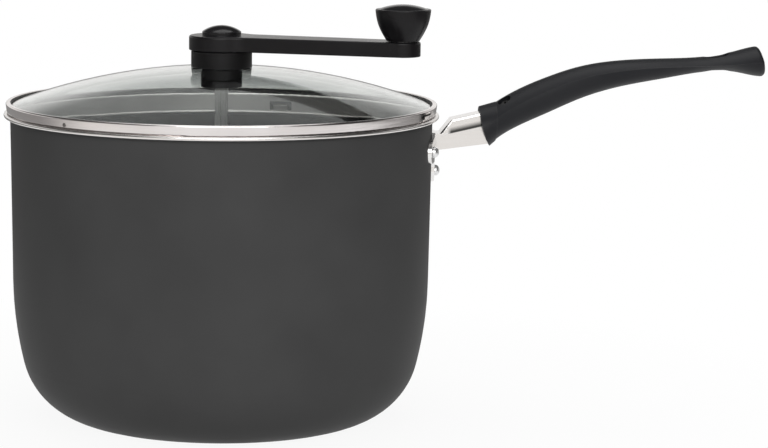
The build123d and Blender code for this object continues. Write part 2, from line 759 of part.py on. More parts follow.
# Lid nut: black nut that clamps the glass from below, and hides the circlip
with BuildPart() as lid_nut:
    with BuildSketch(Plane.XZ):
        with BuildLine():
            Polyline(
                (lid_nut_web_hole, lid_nut_bottom),
                (lid_nut_radius, lid_nut_bottom),
                (lid_nut_radius, lid_nut_top),
                (stem_radius + fit_gap, lid_nut_top),
                (stem_radius + fit_gap, lid_nut_bottom + lid_nut_web),
                (lid_nut_web_hole, lid_nut_bottom + lid_nut_web),
                close=True,
            )
        make_face()
    revolve(axis=Axis.Z)
    nut_rims = lid_nut.edges().filter_by(GeomType.CIRCLE).group_by(SortBy.RADIUS)[-1]
    fillet(nut_rims, 0.6)
lid_nut.part.label = "lid_nut"
export_step(lid_nut.part, "parts/lid_nut.step")

# Nut gasket: soft ring between the glass and the nut
with BuildPart() as nut_gasket:
    with BuildSketch(Plane.XY.offset(lid_nut_top)):
        Circle(nut_gasket_radius)
        Circle(glass_hole_radius + fit_gap, mode=Mode.SUBTRACT)
    extrude(amount=nut_gasket_thickness + glass_thickness / 2)
    add(lid_glass.part, mode=Mode.SUBTRACT)
nut_gasket.part.label = "nut_gasket"
export_step(nut_gasket.part, "parts/nut_gasket.step")

# Shaft bush: the sleeve that the shaft turns in
with BuildPart() as shaft_bush:
    with BuildSketch(Plane.XY.offset(stem_bottom)):
        Circle(bush_outer_radius)
        Circle(journal_radius + running_clearance, mode=Mode.SUBTRACT)
    extrude(amount=washer_seat - stem_bottom)
shaft_bush.part.label = "shaft_bush"
export_step(shaft_bush.part, "parts/shaft_bush.step")

# Thrust washer: carries the arm's hub just clear of the boss
with BuildPart() as thrust_washer:
    with BuildSketch(Plane.XY.offset(washer_seat)):
        Circle(thrust_washer_radius)
        Circle(journal_radius + fit_gap, mode=Mode.SUBTRACT)
    extrude(amount=thrust_washer_thickness)
thrust_washer.part.label = "thrust_washer"
export_step(thrust_washer.part, "parts/thrust_washer.step")

# ---------------------------------------------------------------------------------------------
# Crank and stirrer
# ---------------------------------------------------------------------------------------------

# Crank arm: round hub, tapering arm and round end, with a pocket for the hub's fixings
with BuildPart() as crank_arm:
    with BuildSketch(arm_plane(arm_bottom)) as arm_outline:
        with Locations((arm_root_offset, 0)):
            Circle(arm_root_half_width)
        with Locations((arm_length, 0)):
            Circle(arm_end_radius)
        make_hull()
        Circle(hub_radius)
        fillet(arm_outline.vertices().group_by(Axis.X)[0], arm_blend_radius)
    extrude(amount=arm_thickness)
    fillet(crank_arm.faces().sort_by(Axis.Z)[-1].edges(), arm_edge_fillet)
    fillet(crank_arm.faces().sort_by(Axis.Z)[0].edges(), arm_edge_fillet / 2)
    with BuildSketch(arm_plane(arm_top)):
        Circle(hub_pocket_radius)
    extrude(amount=-hub_pocket_depth, mode=Mode.SUBTRACT)
    with BuildSketch(arm_plane(arm_bottom)):
        Rectangle(shaft_square + fit_gap, shaft_square + fit_gap)
    extrude(amount=arm_thickness, mode=Mode.SUBTRACT)
    with BuildSketch(arm_plane(arm_bottom, arm_length)):
        Circle(stud_radius + running_clearance)
    extrude(amount=arm_thickness, mode=Mode.SUBTRACT)
    with BuildSketch(arm_plane(arm_bottom, arm_length)):
        Circle(knob_nut_recess_radius)
    extrude(amount=knob_nut_recess_depth, mode=Mode.SUBTRACT)
crank_arm.part.label = "crank_arm"
export_step(crank_arm.part, "parts/crank_arm.step")

# Stirrer shaft: flat bar with its foot bent level, and a turned journal, square and stud on top
with BuildPart() as stirrer_shaft:
    with BuildSketch(bar_side) as bar_profile:
        half_bar = bar_thickness / 2
        with BuildLine():
            Polyline(
                (-half_bar, journal_bottom),
                (-half_bar, blade_top),
                (foot_length, blade_top),
                (foot_length, foot_top),
                (half_bar, foot_top),
                (half_bar, journal_bottom),
                close=True,
            )
        make_face()
        fillet(corner(bar_profile, half_bar, foot_top), bar_bend_radius)
        fillet(corner(bar_profile, -half_bar, blade_top), bar_bend_radius + half_bar)
    extrude(amount=bar_width / 2, both=True)
    with BuildSketch(arm_plane(journal_bottom)):
        Circle(journal_radius)
    extrude(amount=arm_bottom - journal_bottom)
    with BuildSketch(arm_plane(arm_bottom)):
        Rectangle(shaft_square, shaft_square)
    extrude(amount=hub_floor - arm_bottom)
    with BuildSketch(arm_plane(hub_floor)):
        Circle(stud_radius)
    extrude(amount=stud_top - hub_floor)
    with BuildSketch(arm_plane(circlip_top - circlip_thickness)):
        Circle(journal_radius + 1)
        Circle(journal_radius - circlip_groove_depth, mode=Mode.SUBTRACT)
    extrude(amount=circlip_thickness, mode=Mode.SUBTRACT)
    with BuildSketch(arm_plane(blade_top)):
        for y in foot_rivet_places:
            with Locations((0, y)):
                Circle(foot_rivet_radius)
    extrude(amount=bar_thickness, mode=Mode.SUBTRACT)
stirrer_shaft.part.label = "stirrer_shaft"
export_step(stirrer_shaft.part, "parts/stirrer_shaft.step")

# Shaft circlip: sprung ring in the journal's groove, with its gap
with BuildPart() as shaft_circlip:
    with BuildSketch(arm_plane(circlip_top - circlip_thickness)):
        Circle(circlip_radius)
        Circle(journal_radius - circlip_groove_depth, mode=Mode.SUBTRACT)
        with Locations((circlip_radius / 2 + 0.5, 0)):
            Rectangle(circlip_radius + 1, 2.2, mode=Mode.SUBTRACT)
    extrude(amount=circlip_thickness)
shaft_circlip.part.label = "shaft_circlip"
export_step(shaft_circlip.part, "parts/shaft_circlip.step")

# Hub washer and hub nut: clamp the arm on the shaft's shoulder
with BuildPart() as hub_washer:
    with BuildSketch(arm_plane(hub_floor)):
        Circle(hub_washer_radius)
        Circle(stud_radius + fit_gap, mode=Mode.SUBTRACT)
    extrude(amount=hub_washer_thickness)
hub_washer.part.label = "hub_washer"
export_step(hub_washer.part, "parts/hub_washer.step")

with BuildPart() as hub_nut:
    with BuildSketch(arm_plane(hub_floor + hub_washer_thickness)):
        RegularPolygon(nut_flats / 2, 6, major_radius=False)
        Circle(stud_radius, mode=Mode.SUBTRACT)
    extrude(amount=hub_nut_thickness)
hub_nut.part.label = "hub_nut"
export_step(hub_nut.part, "parts/hub_nut.step")

# Hub cap: domed button that plugs into the hub's pocket
with BuildPart() as hub_cap:
    with BuildSketch(arm_section) as cap_section:
        with BuildLine():
            plug_radius = hub_pocket_radius - fit_gap
            cap_shoulder = arm_top + hub_cap_side
            cap_crown = hub_cap_height - hub_cap_side
            cap_span = [0, hub_cap_radius / 2, hub_cap_radius]
            ThreePointArc(*[dome_point(hub_cap_radius, cap_shoulder, cap_crown, r) for r in cap_span])
            Polyline(
                (hub_cap_radius, cap_shoulder),
                (hub_cap_radius, arm_top),
                (plug_radius, arm_top),
                (plug_radius, arm_top - hub_cap_plug_depth),
                (plug_radius - hub_cap_plug_wall, arm_top - hub_cap_plug_depth),
                (plug_radius - hub_cap_plug_wall, stud_top + 0.6),
                (0, stud_top + 0.6),
                (0, arm_top + hub_cap_height),
            )
        make_face()
        fillet(corner(cap_section, hub_cap_radius, cap_shoulder), 0.7)
    revolve(axis=Axis.Z)
hub_cap.part.label = "hub_cap"
export_step(hub_cap.part, "parts/hub_cap.step")

# Stirrer blade: a strip across the floor with flaps turned up on its leading edges
with BuildPart() as stirrer_blade:
    with BuildSketch(arm_plane(blade_bottom)) as blade_outline:
        Rectangle(stirrer_width, 2 * stirrer_reach)
        fillet(blade_outline.vertices(), stirrer_width / 2 - 1)
    extrude(amount=stirrer_sheet)
    with BuildSketch(arm_plane(blade_bottom)):
        for side in (1, -1):
            edge = side * (stirrer_width - stirrer_sheet) / 2
            with Locations((edge, side * (flap_start + flap_length / 2))):
                Rectangle(stirrer_sheet, flap_length)
    extrude(amount=flap_height)
    with BuildSketch(arm_plane(blade_bottom)):
        for y in foot_rivet_places:
            with Locations((0, y)):
                Circle(foot_rivet_radius)
    extrude(amount=stirrer_sheet, mode=Mode.SUBTRACT)
stirrer_blade.part.label = "stirrer_blade"
export_step(stirrer_blade.part, "parts/stirrer_blade.step")

# Stirrer rivets: two short rivets through the foot and the blade
with BuildPart() as stirrer_rivets:
    with BuildSketch(arm_plane(blade_bottom)):
        for y in foot_rivet_places:
            with Locations((0, y)):
                Circle(foot_rivet_radius)
    extrude(amount=foot_top - blade_bottom)
    with BuildSketch(arm_plane(foot_top)):
        for y in foot_rivet_places:
            with Locations((0, y)):
                Circle(foot_rivet_head_radius)
    extrude(amount=foot_rivet_head_height)
    fillet(stirrer_rivets.faces().sort_by(Axis.Z)[-2:].edges(), foot_rivet_head_height / 2)
stirrer_rivets.part.label = "stirrer_rivets"
export_step(stirrer_rivets.part, "parts/stirrer_rivets.step")

# Knob pin: head in the knob's recess, smooth shoulder, and a thinner end through the arm
with BuildPart() as knob_pin:
    with BuildSketch(arm_plane(pin_bottom, arm_length)):
        Circle(stud_radius)
    extrude(amount=arm_top - pin_bottom)
    with BuildSketch(arm_plane(arm_top, arm_length)):
        Circle(pin_shoulder_radius)
    extrude(amount=pin_seat + fit_gap - arm_top)
    with BuildSketch(arm_plane(pin_seat + fit_gap, arm_length)):
        Circle(pin_head_radius)
    extrude(amount=pin_head_height)
    fillet(knob_pin.faces().sort_by(Axis.Z)[-1].edges(), pin_head_height / 4)
    with BuildSketch(arm_plane(pin_seat + fit_gap + pin_head_height, arm_length)):
        Rectangle(2 * pin_head_radius + 1, 0.9)
    extrude(amount=-pin_head_height / 2, mode=Mode.SUBTRACT)
knob_pin.part.label = "knob_pin"
export_step(knob_pin.part, "parts/knob_pin.step")

# Knob nut: in the recess under the arm's end
with BuildPart() as knob_nut:
    with BuildSketch(arm_plane(arm_bottom + knob_nut_recess_depth, arm_length)):
        RegularPolygon(nut_flats / 2, 6, major_radius=False)
        Circle(stud_radius, mode=Mode.SUBTRACT)
    extrude(amount=-knob_nut_thickness)
knob_nut.part.label = "knob_nut"
export_step(knob_nut.part, "parts/knob_nut.step")

# Knob washer: thin washer round the pin's shoulder, under the knob
with BuildPart() as knob_washer:
    with BuildSketch(arm_plane(arm_top, arm_length)):
        Circle(knob_washer_radius)
        Circle(pin_shoulder_radius + fit_gap, mode=Mode.SUBTRACT)
    extrude(amount=knob_washer_thickness)
knob_washer.part.label = "knob_washer"
export_step(knob_washer.part, "parts/knob_washer.step")

# ---------------------------------------------------------------------------------------------
# Knob
# ---------------------------------------------------------------------------------------------

# Crank knob: tapers from a wide top to a narrow base, bored for the pin
with BuildPart() as crank_knob:
    with BuildSketch(knob_section) as knob_outline:
        with BuildLine():
            flare = knob_top_radius - knob_base_radius
            Spline(
                (knob_base_radius, knob_bottom),
                (knob_base_radius + 0.39 * flare, knob_bottom + 0.235 * knob_height),
                (knob_base_radius + 0.70 * flare, knob_bottom + 0.47 * knob_height),
                (knob_base_radius + 0.92 * flare, knob_bottom + 0.765 * knob_height),
                (knob_top_radius, knob_top),
            )
            Polyline(
                (knob_top_radius, knob_top),
                (knob_cap_radius + fit_gap, knob_top),
                (knob_cap_radius + fit_gap, knob_top - knob_cap_seat),
                (knob_recess_radius, knob_top - knob_cap_seat),
                (knob_recess_radius, pin_seat),
                (pin_shoulder_radius + running_clearance, pin_seat),
                (pin_shoulder_radius + running_clearance, knob_bottom),
                (knob_base_radius, knob_bottom),
            )
        make_face()
        fillet(corner(knob_outline, knob_top_radius, knob_top), 0.6)
    revolve(axis=knob_axis)
crank_knob.part.label = "crank_knob"
export_step(crank_knob.part, "parts/crank_knob.step")

# Knob cap: domed disc pressed into the knob's top, over the pin's head
with BuildPart() as knob_cap:
    with BuildSketch(knob_section):
        with BuildLine():
            Polyline(
                (0, knob_top + knob_cap_crown),
                (0, knob_top - knob_cap_seat),
                (knob_cap_radius, knob_top - knob_cap_seat),
                (knob_cap_radius, knob_top),
            )
            cap_span = [knob_cap_radius, knob_cap_radius / 2, 0]
            ThreePointArc(*[dome_point(knob_cap_radius, knob_top, knob_cap_crown, r) for r in cap_span])
        make_face()
    revolve(axis=knob_axis)
knob_cap.part.label = "knob_cap"
export_step(knob_cap.part, "parts/knob_cap.step")
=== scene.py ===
import math

import bmesh
import bpy
from mathutils import Matrix, Vector


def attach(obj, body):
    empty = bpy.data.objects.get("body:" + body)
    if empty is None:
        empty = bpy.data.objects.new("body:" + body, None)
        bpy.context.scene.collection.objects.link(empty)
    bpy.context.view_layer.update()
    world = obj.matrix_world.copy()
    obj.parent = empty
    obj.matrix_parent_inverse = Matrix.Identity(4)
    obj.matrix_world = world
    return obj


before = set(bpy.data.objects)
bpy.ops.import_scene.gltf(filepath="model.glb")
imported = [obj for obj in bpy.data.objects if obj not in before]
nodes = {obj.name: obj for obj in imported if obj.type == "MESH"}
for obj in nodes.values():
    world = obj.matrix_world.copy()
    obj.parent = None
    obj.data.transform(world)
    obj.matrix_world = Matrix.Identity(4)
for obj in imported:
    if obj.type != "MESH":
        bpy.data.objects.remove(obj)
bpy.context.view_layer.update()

# The camera. A long lens in front of the pot, a little above the lid and tipped down at it, with
# the picture shifted so that the pot stands left and the handle runs out to the right.
camera_height = 0.35877
camera_distance = 1.7
camera_pitch = 0.1462
camera_roll = 0.0047
lens_focal = 145.015
picture_shift = 0.21249

forward = Vector((0.0, math.cos(camera_pitch), -math.sin(camera_pitch)))
level_right = Vector((1.0, 0.0, 0.0))
level_up = level_right.cross(forward)
right = level_right * math.cos(camera_roll) + level_up * math.sin(camera_roll)
upward = level_up * math.cos(camera_roll) - level_right * math.sin(camera_roll)

camera_data = bpy.data.cameras.new("studio_camera")
camera_data.lens = lens_focal
camera_data.sensor_width = 36.0
camera_data.shift_x = picture_shift
camera_data.clip_start = 0.05
camera_data.clip_end = 50.0
camera = bpy.data.objects.new("studio_camera", camera_data)
bpy.context.scene.collection.objects.link(camera)
camera.matrix_world = (
    Matrix.Translation((0.0, -camera_distance, camera_height))
    @ Matrix((right, upward, -forward)).transposed().to_4x4()
)
bpy.context.scene.camera = camera
bpy.context.scene.view_settings.view_transform = "Standard"


# The studio. A plain pale floor, white wherever the eye, the glass or the polished metal sees
# it, an even pale sky and soft boxes over, beside and in front of the pot. Polished surfaces
# mirror a room instead of the sky, bright low down and overhead and dark between.
def feed(owner, socket, value):
    """Link a socket to another node's output, or else set the socket's own value."""
    if hasattr(value, "is_linked"):
        owner.node_tree.links.new(value, socket)
    else:
        socket.default_value = value


def add_node(owner, kind, **settings):
    made = owner.node_tree.nodes.new(kind)
    for setting, value in settings.items():
        setattr(made, setting, value)
    return made


def calculate(owner, operation, *values):
    step = add_node(owner, "ShaderNodeMath", operation=operation)
    for socket, value in zip(step.inputs, values):
        feed(owner, socket, value)
    return step.outputs[0]


def spread(owner, source, low, high, from_low=0.3, from_high=0.7, fade="LINEAR"):
    """Turn a source that runs between two limits into a value between low and high."""
    span = add_node(owner, "ShaderNodeMapRange", interpolation_type=fade)
    for name, value in (
        ("Value", source),
        ("From Min", from_low),
        ("From Max", from_high),
        ("To Min", low),
        ("To Max", high),
    ):
        feed(owner, span.inputs[name], value)
    return span.outputs["Result"]


def blend(owner, share, first, second, kind="FLOAT", how="MIX"):
    mix = add_node(owner, "ShaderNodeMix", data_type=kind, blend_type=how)
    first_input, result = (2, 0) if kind == "FLOAT" else (6, 2)
    feed(owner, mix.inputs[0], share)
    feed(owner, mix.inputs[first_input], first)
    feed(owner, mix.inputs[first_input + 1], second)
    return mix.outputs[result]


def mix_shaders(owner, share, first, second):
    mix = add_node(owner, "ShaderNodeMixShader")
    for socket, value in zip(mix.inputs, (share, first, second)):
        feed(owner, socket, value)
    return mix.outputs[0]


def glow(owner, kind, strength, colour=(1.0, 1.0, 1.0, 1.0)):
    light = add_node(owner, kind)
    feed(owner, light.inputs["Color"], colour)
    feed(owner, light.inputs["Strength"], strength)
    return light.outputs[0]


def seen_straight(owner, *kinds):
    """1 for a ray of one of these kinds that no dull surface has scattered yet, or else 0."""
    ray = add_node(owner, "ShaderNodeLightPath")
    seen = ray.outputs[kinds[0]]
    for kind in kinds[1:]:
        seen = calculate(owner, "MAXIMUM", seen, ray.outputs[kind])
    unscattered = calculate(owner, "LESS_THAN", ray.outputs["Diffuse Depth"], 0.5)
    return calculate(owner, "MULTIPLY", seen, unscattered)


def deselect_everything():
    bpy.ops.object.select_all(action="DESELECT")


floor_radius = 0.6
floor_level = -0.0004
floor_middle = 0.05
floor_grey = 0.86
contact_white = 0.92
contact_reach = (0.1, 0.4)

deselect_everything()
bpy.ops.mesh.primitive_circle_add(
    vertices=96,
    radius=floor_radius,
    fill_type="NGON",
    location=(floor_middle, 0.0, floor_level),
)
studio_floor = bpy.context.object
studio_floor.name = "studio_floor"
bpy.ops.object.transform_apply(location=True, rotation=True, scale=True)
floor_paint = bpy.data.materials.new("floor_paint")
floor_paint.use_nodes = True
floor_paint.node_tree.nodes.clear()
paint_out = add_node(floor_paint, "ShaderNodeOutputMaterial")
matte = add_node(floor_paint, "ShaderNodeBsdfDiffuse")
matte.inputs["Color"].default_value = (floor_grey, floor_grey, floor_grey, 1.0)
floor_places = add_node(floor_paint, "ShaderNodeTexCoord")
from_pot = add_node(floor_paint, "ShaderNodeVectorMath", operation="LENGTH")
feed(floor_paint, from_pot.inputs[0], floor_places.outputs["Object"])
share_white = spread(
    floor_paint, from_pot.outputs["Value"], contact_white, 1.0, contact_reach[0], contact_reach[1]
)
floor_seen = seen_straight(floor_paint, "Is Camera Ray", "Is Glossy Ray", "Is Transmission Ray")
floor_mix = mix_shaders(
    floor_paint,
    calculate(floor_paint, "MULTIPLY", floor_seen, share_white),
    matte.outputs[0],
    glow(floor_paint, "ShaderNodeEmission", 1.0),
)
feed(floor_paint, paint_out.inputs[0], floor_mix)
studio_floor.data.materials.append(floor_paint)

sky = bpy.data.worlds.new("studio_sky")
bpy.context.scene.world = sky
sky.use_nodes = True
sky.node_tree.nodes.clear()
sky_out = add_node(sky, "ShaderNodeOutputWorld")
direction = add_node(sky, "ShaderNodeTexCoord")
direction_parts = add_node(sky, "ShaderNodeSeparateXYZ")
feed(sky, direction_parts.inputs[0], direction.outputs["Generated"])


def room_wall(steps, axis="Z"):
    """A grey that changes in steps along one axis of the direction that a mirrored ray takes."""
    ramp = add_node(sky, "ShaderNodeValToRGB")
    stops = ramp.color_ramp.elements
    for position, grey in steps[1:-1]:
        stops.new((position + 1.0) / 2.0)
    for stop, (position, grey) in zip(stops, steps):
        stop.position = (position + 1.0) / 2.0
        stop.color = (grey, grey * 0.985, grey * 0.97, 1.0)
    lift = spread(sky, direction_parts.outputs[axis], 0.0, 1.0, -1.0, 1.0)
    feed(sky, ramp.inputs["Fac"], lift)
    return ramp.outputs["Color"]


sky_strength = 0.24
front_wall = room_wall(
    [(-1.0, 1.0), (-0.08, 0.95), (0.0, 0.2), (0.7, 0.1), (0.95, 0.1), (1.0, 0.9)]
)
low_back_wall = [(-1.0, 0.6), (-0.3, 0.35), (-0.03, 0.2), (0.05, 1.0), (0.3, 0.8)]
high_back_wall = [(0.42, 0.05), (0.95, 0.05), (1.0, 0.9)]
back_wall = room_wall(low_back_wall + high_back_wall)
front_sides = room_wall(
    [(-1.0, 0.4), (-0.92, 0.9), (-0.6, 1.0), (0.2, 1.0), (0.7, 0.8), (0.85, 0.2), (1.0, 0.3)], "X"
)
lit_front = blend(sky, 1.0, front_wall, front_sides, "RGBA", "MULTIPLY")
behind = spread(sky, direction_parts.outputs["Y"], 0.0, 1.0, -0.1, 0.35, "SMOOTHSTEP")
walls = blend(sky, behind, lit_front, back_wall, "RGBA")
mirror_ray = add_node(sky, "ShaderNodeLightPath")
lighting_sky = mix_shaders(
    sky,
    mirror_ray.outputs["Is Glossy Ray"],
    glow(sky, "ShaderNodeBackground", sky_strength),
    glow(sky, "ShaderNodeBackground", 1.0, walls),
)
whole_sky = mix_shaders(
    sky,
    seen_straight(sky, "Is Camera Ray", "Is Transmission Ray"),
    lighting_sky,
    glow(sky, "ShaderNodeBackground", 1.0),
)
feed(sky, sky_out.inputs[0], whole_sky)


def soft_box(name, place, width, height, power):
    lamp = bpy.data.lights.new(name, "AREA")
    lamp.shape = "RECTANGLE"
    lamp.size = width
    lamp.size_y = height
    lamp.energy = power
    holder = bpy.data.objects.new(name, lamp)
    bpy.context.scene.collection.objects.link(holder)
    holder.location = place
    holder.rotation_euler = (pot_middle - Vector(place)).to_track_quat("-Z", "Y").to_euler()


pot_middle = Vector((0.05, 0.0, 0.1))
soft_box("overhead_box", (0.0, 0.2, 1.5), 1.3, 1.1, 9.0)
soft_box("left_box", (-0.9, -1.8, 1.0), 0.7, 0.9, 2.0)
soft_box("right_box", (1.0, -1.8, 1.0), 0.6, 0.9, 3.0)
soft_box("front_box", (0.05, -2.2, 1.0), 1.9, 1.2, 29.0)


# The pot: pressed aluminium under a dark grey satin coating, sprayed and baked, so it has a
# very fine orange peel. The rim was trimmed bright after coating, and its metal is bare.
def new_finish(name, metallic, roughness, colour, gloss=0.5):
    material = bpy.data.materials.new(name)
    material.use_nodes = True
    shader = material.node_tree.nodes["Principled BSDF"]
    shader.inputs["Metallic"].default_value = metallic
    shader.inputs["Roughness"].default_value = roughness
    shader.inputs["Base Color"].default_value = (*colour, 1.0)
    shader.inputs["Specular IOR Level"].default_value = gloss
    places = add_node(material, "ShaderNodeTexCoord").outputs["Object"]
    return material, shader, places


def speckle(material, places, scale, detail, stretch=(1.0, 1.0, 1.0)):
    mapping = add_node(material, "ShaderNodeMapping")
    mapping.inputs["Scale"].default_value = stretch
    noise = add_node(material, "ShaderNodeTexNoise")
    noise.inputs["Scale"].default_value = scale
    noise.inputs["Detail"].default_value = detail
    feed(material, mapping.inputs["Vector"], places)
    feed(material, noise.inputs["Vector"], mapping.outputs["Vector"])
    return noise.outputs["Fac"]


def tint(material, source, dark, light):
    ramp = add_node(material, "ShaderNodeValToRGB")
    for stop, position, colour in zip(ramp.color_ramp.elements, (0.3, 0.7), (dark, light)):
        stop.position = position
        stop.color = (*colour, 1.0)
    feed(material, ramp.inputs["Fac"], source)
    return ramp.outputs["Color"]


def relief(material, shader, height, depth, strength):
    bump = add_node(material, "ShaderNodeBump")
    bump.inputs["Strength"].default_value = strength
    bump.inputs["Distance"].default_value = depth
    feed(material, bump.inputs["Height"], height)
    feed(material, shader.inputs["Normal"], bump.outputs["Normal"])


def mottled_finish(name, metallic, scale, detail, roughness, dark, light, depth, strength, **noise):
    """A finish whose roughness, colour and fine relief all follow one noise."""
    material, shader, places = new_finish(name, metallic, roughness[1], light)
    mottle = speckle(material, places, scale, detail, **noise)
    feed(material, shader.inputs["Roughness"], spread(material, mottle, *roughness))
    feed(material, shader.inputs["Base Color"], tint(material, mottle, dark, light))
    relief(material, shader, mottle, depth, strength)
    return material


def axis_parts(material, places):
    split = add_node(material, "ShaderNodeSeparateXYZ")
    feed(material, split.inputs[0], places)
    return [split.outputs[axis] for axis in "XYZ"]


def axis_distance(material, across, beside):
    """Distance from the upright axis of pot and lid."""
    squares = [calculate(material, "MULTIPLY", part, part) for part in (across, beside)]
    return calculate(material, "SQRT", calculate(material, "ADD", *squares))


def dress(material, *names):
    for name in names:
        for part_slot in nodes[name].material_slots:
            part_slot.material = material


coating_dark = (0.054, 0.054, 0.054)
coating_light = (0.063, 0.063, 0.063)
coating_gloss = 0.08
inside_dark_colour = (0.018, 0.018, 0.018, 1.0)
bare_rim = (0.78, 0.76, 0.745, 1.0)
rim_start_height = 0.1688
rim_inner_radius = 0.1150
trim_fade = 0.0002
wall_slope = math.tan(math.radians(0.76))
inside_wall_radii = (0.1125, 0.1133)
inside_dark_heights = (0.095, 0.125)

pot_finish, pot_shader, pot_places = new_finish(
    "pot_coating", 0.0, 0.5, coating_light, coating_gloss
)
cloud = speckle(pot_finish, pot_places, 22.0, 2.0)
grain = speckle(pot_finish, pot_places, 1500.0, 2.0)
pot_across, pot_beside, pot_height = axis_parts(pot_finish, pot_places)
pot_radius = axis_distance(pot_finish, pot_across, pot_beside)
above_wall = spread(
    pot_finish, pot_height, 0.0, 1.0, rim_start_height, rim_start_height + trim_fade
)
outside_mouth = spread(
    pot_finish, pot_radius, 0.0, 1.0, rim_inner_radius, rim_inner_radius + trim_fade
)
on_rim = calculate(pot_finish, "MULTIPLY", above_wall, outside_mouth)
radius_at_base = calculate(pot_finish, "MULTIPLY_ADD", pot_height, -wall_slope, pot_radius)
# The inside wall is painted darker than the outside from 0.095 m up, and fully so from 0.125 m.
inside_wall = spread(pot_finish, radius_at_base, 1.0, 0.0, *inside_wall_radii)
upper_half = spread(pot_finish, pot_height, 0.0, 1.0, *inside_dark_heights)
inside_dark_share = calculate(pot_finish, "MULTIPLY", inside_wall, upper_half)
coating = tint(pot_finish, cloud, coating_dark, coating_light)
coat_colour = blend(pot_finish, inside_dark_share, coating, inside_dark_colour, "RGBA")
pot_colour = blend(pot_finish, on_rim, coat_colour, bare_rim, "RGBA")
coat_roughness = spread(pot_finish, cloud, 0.5, 0.58)
rim_roughness = spread(pot_finish, grain, 0.16, 0.26)
pot_roughness = blend(pot_finish, on_rim, coat_roughness, rim_roughness)
feed(pot_finish, pot_shader.inputs["Base Color"], pot_colour)
feed(pot_finish, pot_shader.inputs["Metallic"], on_rim)
feed(pot_finish, pot_shader.inputs["Roughness"], pot_roughness)
relief(pot_finish, pot_shader, grain, 0.00003, 0.35)
dress(pot_finish, "pot_body")


# The handle's bracket: a saddle and a hollow neck pressed from one steel sheet and polished, so
# it mirrors the room, with faint drawing lines along it and painted shade, a dark strip, in the
# crease under the neck's rail. Three bright rivets hold it.
crease_start = (0.12666, 0.1607)
crease_slope = math.tan(math.radians(13.0))
crease_foot = (-0.0003, 0.0)
crease_head = (0.001, 0.0036)
crease_end = (0.1245, 0.1265)
# Painted shade: the dark colour painted along the crease under the neck's rail.
painted_crease_shade = (0.06, 0.06, 0.057, 1.0)

bracket_finish, bracket_shader, bracket_places = new_finish(
    "bracket_steel", 1.0, 0.16, (0.80, 0.79, 0.78)
)
draw_lines = speckle(bracket_finish, bracket_places, 60.0, 4.0, (0.6, 12.0, 12.0))
bracket_along, _, bracket_height = axis_parts(bracket_finish, bracket_places)
rail_drop = calculate(
    bracket_finish,
    "MULTIPLY_ADD",
    bracket_along,
    -crease_slope,
    crease_slope * crease_start[0] - crease_start[1],
)
over_crease = calculate(bracket_finish, "ADD", bracket_height, rail_drop)
in_crease = calculate(
    bracket_finish,
    "MULTIPLY",
    spread(bracket_finish, over_crease, 0.0, 1.0, *crease_foot),
    spread(bracket_finish, over_crease, 1.0, 0.0, *crease_head),
)
past_end = spread(bracket_finish, bracket_along, 0.0, 1.0, *crease_end)
# Painted shade: this mask paints the crease under the rail dark, for the shade that falls there.
crease_shade_share = calculate(bracket_finish, "MULTIPLY", in_crease, past_end)
polished = tint(bracket_finish, draw_lines, (0.8, 0.79, 0.78), (0.86, 0.85, 0.84))
bracket_colour = blend(bracket_finish, crease_shade_share, polished, painted_crease_shade, "RGBA")
bracket_roughness = spread(bracket_finish, draw_lines, 0.12, 0.22)
feed(bracket_finish, bracket_shader.inputs["Base Color"], bracket_colour)
feed(bracket_finish, bracket_shader.inputs["Roughness"], bracket_roughness)
relief(bracket_finish, bracket_shader, draw_lines, 0.00004, 0.3)
dress(bracket_finish, "handle_bracket")

rivet_finish = mottled_finish(
    "rivet_metal",
    metallic=1.0,
    scale=900.0,
    detail=2.0,
    roughness=(0.32, 0.42),
    dark=(0.74, 0.74, 0.74),
    light=(0.86, 0.86, 0.86),
    depth=0.00003,
    strength=0.4,
)
dress(rivet_finish, "bracket_rivets", "stirrer_rivets")


# The grip: black moulded phenolic with a fine matte grain, rubbed a little smoother and paler
# along its ridges and its edges. Its screw is blackened steel, and the fasteners of the crank
# are zinc plated.
def edge_wear(material):
    """1 along the edges of a piece, fading to 0 on its faces."""
    bevel = add_node(material, "ShaderNodeBevel", samples=4)
    bevel.inputs["Radius"].default_value = 0.0008
    geometry = add_node(material, "ShaderNodeNewGeometry")
    dot = add_node(material, "ShaderNodeVectorMath", operation="DOT_PRODUCT")
    feed(material, dot.inputs[0], bevel.outputs["Normal"])
    feed(material, dot.inputs[1], geometry.outputs["Normal"])
    return spread(material, dot.outputs["Value"], 1.0, 0.0, 0.88, 0.995)


def black_plastic(name, dark, light, smooth, rough):
    material, shader, places = new_finish(name, 0.0, rough, light, plastic_gloss)
    flow = speckle(material, places, 30.0, 3.0)
    pores = speckle(material, places, 2600.0, 2.0)
    rubbed = edge_wear(material)
    colour = blend(material, rubbed, tint(material, flow, dark, light), rubbed_black, "RGBA")
    roughness = blend(material, rubbed, spread(material, flow, smooth, rough), smooth * 0.8)
    feed(material, shader.inputs["Base Color"], colour)
    feed(material, shader.inputs["Roughness"], roughness)
    relief(material, shader, pores, 0.00004, 0.5)
    return material


plastic_gloss = 0.2
rubbed_black = (0.03, 0.03, 0.032, 1.0)
grip_finish = black_plastic(
    "grip_plastic", (0.013, 0.0135, 0.016), (0.018, 0.0185, 0.021), 0.44, 0.54
)
dress(grip_finish, "handle_grip")

zinc_finish = mottled_finish(
    "fastener_steel",
    metallic=1.0,
    scale=700.0,
    detail=3.0,
    roughness=(0.28, 0.45),
    dark=(0.52, 0.52, 0.53),
    light=(0.68, 0.68, 0.69),
    depth=0.00002,
    strength=0.3,
)
dress(zinc_finish, "shaft_circlip", "hub_washer", "hub_nut", "knob_pin", "knob_nut")

blackened = mottled_finish(
    "blackened_steel",
    metallic=0.8,
    scale=800.0,
    detail=3.0,
    roughness=(0.4, 0.6),
    dark=(0.02, 0.02, 0.021),
    light=(0.045, 0.044, 0.044),
    depth=0.00002,
    strength=0.4,
)
dress(blackened, "handle_screw")


